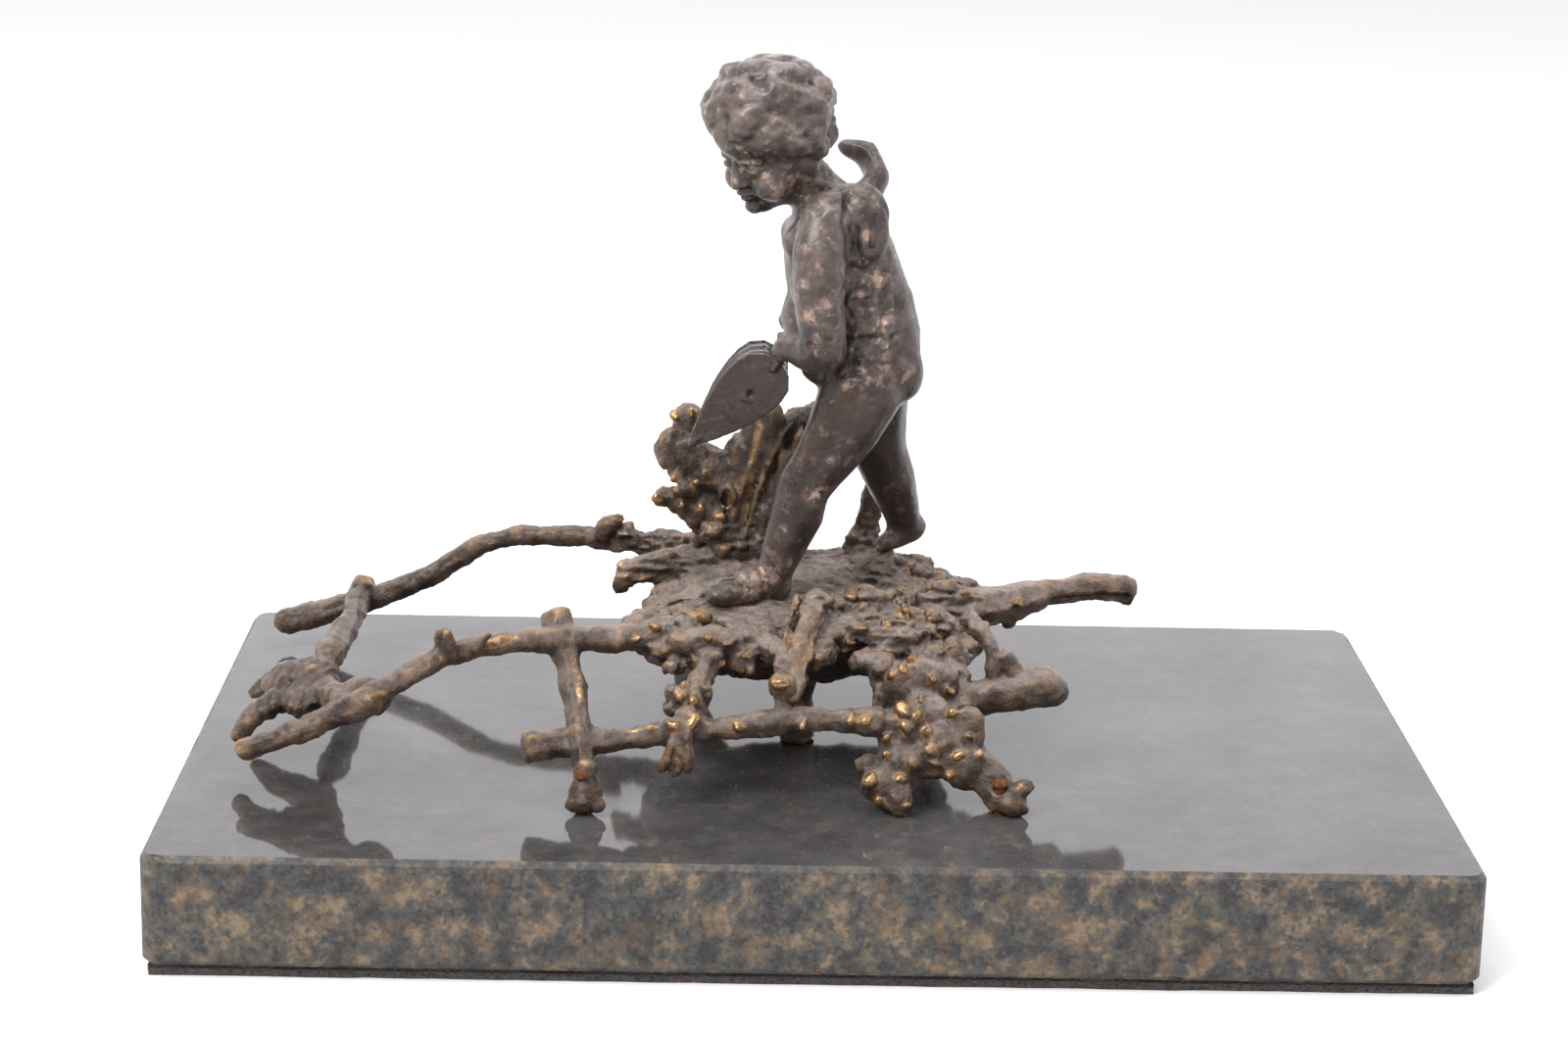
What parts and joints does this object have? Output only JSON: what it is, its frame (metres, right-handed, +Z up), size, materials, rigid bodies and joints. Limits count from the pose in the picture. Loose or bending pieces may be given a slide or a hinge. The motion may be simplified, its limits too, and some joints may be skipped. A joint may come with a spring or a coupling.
{
  "type": "bronze putto statuette",
  "caption": "Winged bronze putto striding with a hand bellows over a rustic base of branches, leaves and a tree stump, on a rectangular polished granite slab.",
  "frame": {"origin": "centre of the felt underside, on the surface the piece stands on", "axes": "+X along the slab's long side, away from the way the putto strides; +Y to the back, on the putto's right; +Z up"},
  "size_m": [0.232, 0.15, 0.1524],
  "materials": {
    "dark_bronze": "satin dark brown patina with rubbed spots",
    "golden_bronze": "dusty brown patina, rubbed golden on the high spots",
    "granite": "polished dark granite, mottled grey, green, brown and black",
    "felt": "thick brown felt",
    "rusty_iron": "rusted screw heads"
  },
  "bodies": {
    "root": {"felt_underlay": "felt", "granite_slab": "granite", "branch_base": "golden_bronze", "putto": "dark_bronze", "bellows": "dark_bronze", "screw_left": "rusty_iron", "screw_right": "rusty_iron"}
  },
  "joints": []
}
